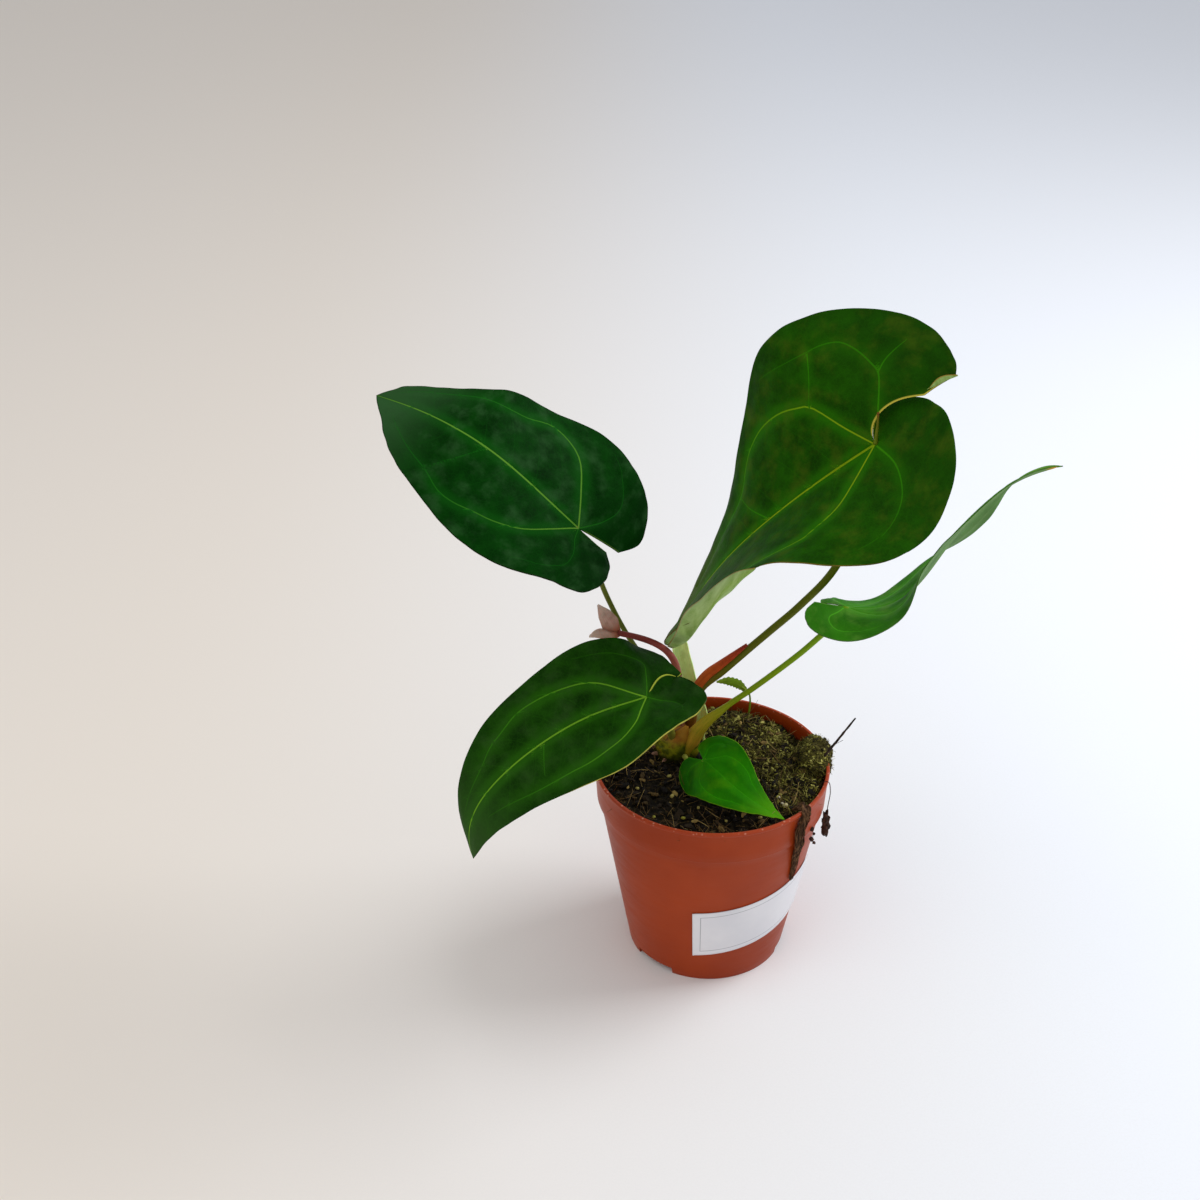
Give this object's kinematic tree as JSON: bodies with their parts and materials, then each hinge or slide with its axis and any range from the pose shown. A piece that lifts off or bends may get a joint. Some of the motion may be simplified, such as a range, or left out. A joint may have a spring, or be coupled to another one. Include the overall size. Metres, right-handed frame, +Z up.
{
  "type": "potted anthurium",
  "caption": "Aroid house plant with heart-shaped leaves on long stalks from one short stem, in a tapered round nursery pot filled with soil.",
  "frame": {"origin": "centre of the pot's underside, on the surface that the pot stands on", "axes": "+Z up along the pot's axis, +X to the right of the leaf that points at a viewer's right, -Y towards the front, where the label starts"},
  "size_m": [0.3276, 0.1421, 0.3567],
  "materials": {
    "pot_plastic": "satin moulded terracotta-orange plastic",
    "paper": "plain white label paper with a thin grey border line",
    "soil": "loose dark potting soil with bark chips and fibres",
    "moss": "matted brown-green moss and fine roots",
    "stem": "yellow-green to orange-brown sheathed stem",
    "dark_leaf": "deep green velvety blade with pale veins and a thin yellow margin",
    "green_leaf": "mid green satin blade with pale veins, pale beneath",
    "young_leaf": "bright green glossy young blade",
    "stalk": "smooth olive green leaf stalk, orange-yellow at its foot",
    "flower_stalk": "smooth red-brown flower stalk",
    "bract": "dry papery pink-brown bract",
    "red_sheath": "red-brown leathery sheath",
    "pale_sheath": "thin pale green sheath with a reddish edge",
    "seedling": "soft toothed seedling leaf",
    "twig": "rough dark twig and bark"
  },
  "bodies": {
    "root": {"pot": "pot_plastic", "sticker": "paper", "soil": "soil", "moss_clump": "moss", "stem": "stem", "right_leaf_stalk": "stalk", "right_leaf_blade": "green_leaf", "large_leaf_stalk": "stalk", "large_leaf_blade": "dark_leaf", "low_leaf_stalk": "stalk", "low_leaf_blade": "dark_leaf", "young_leaf_stalk": "stalk", "young_leaf_blade": "young_leaf", "left_leaf_stalk": "stalk", "left_leaf_blade": "dark_leaf", "flower_stalk": "flower_stalk", "bract": "bract", "stalk_sheath": "red_sheath", "bud_sheath": "pale_sheath", "seedling": "seedling", "twig": "twig", "root_strip": "moss", "hanging_crumb": "twig"}
  },
  "joints": []
}
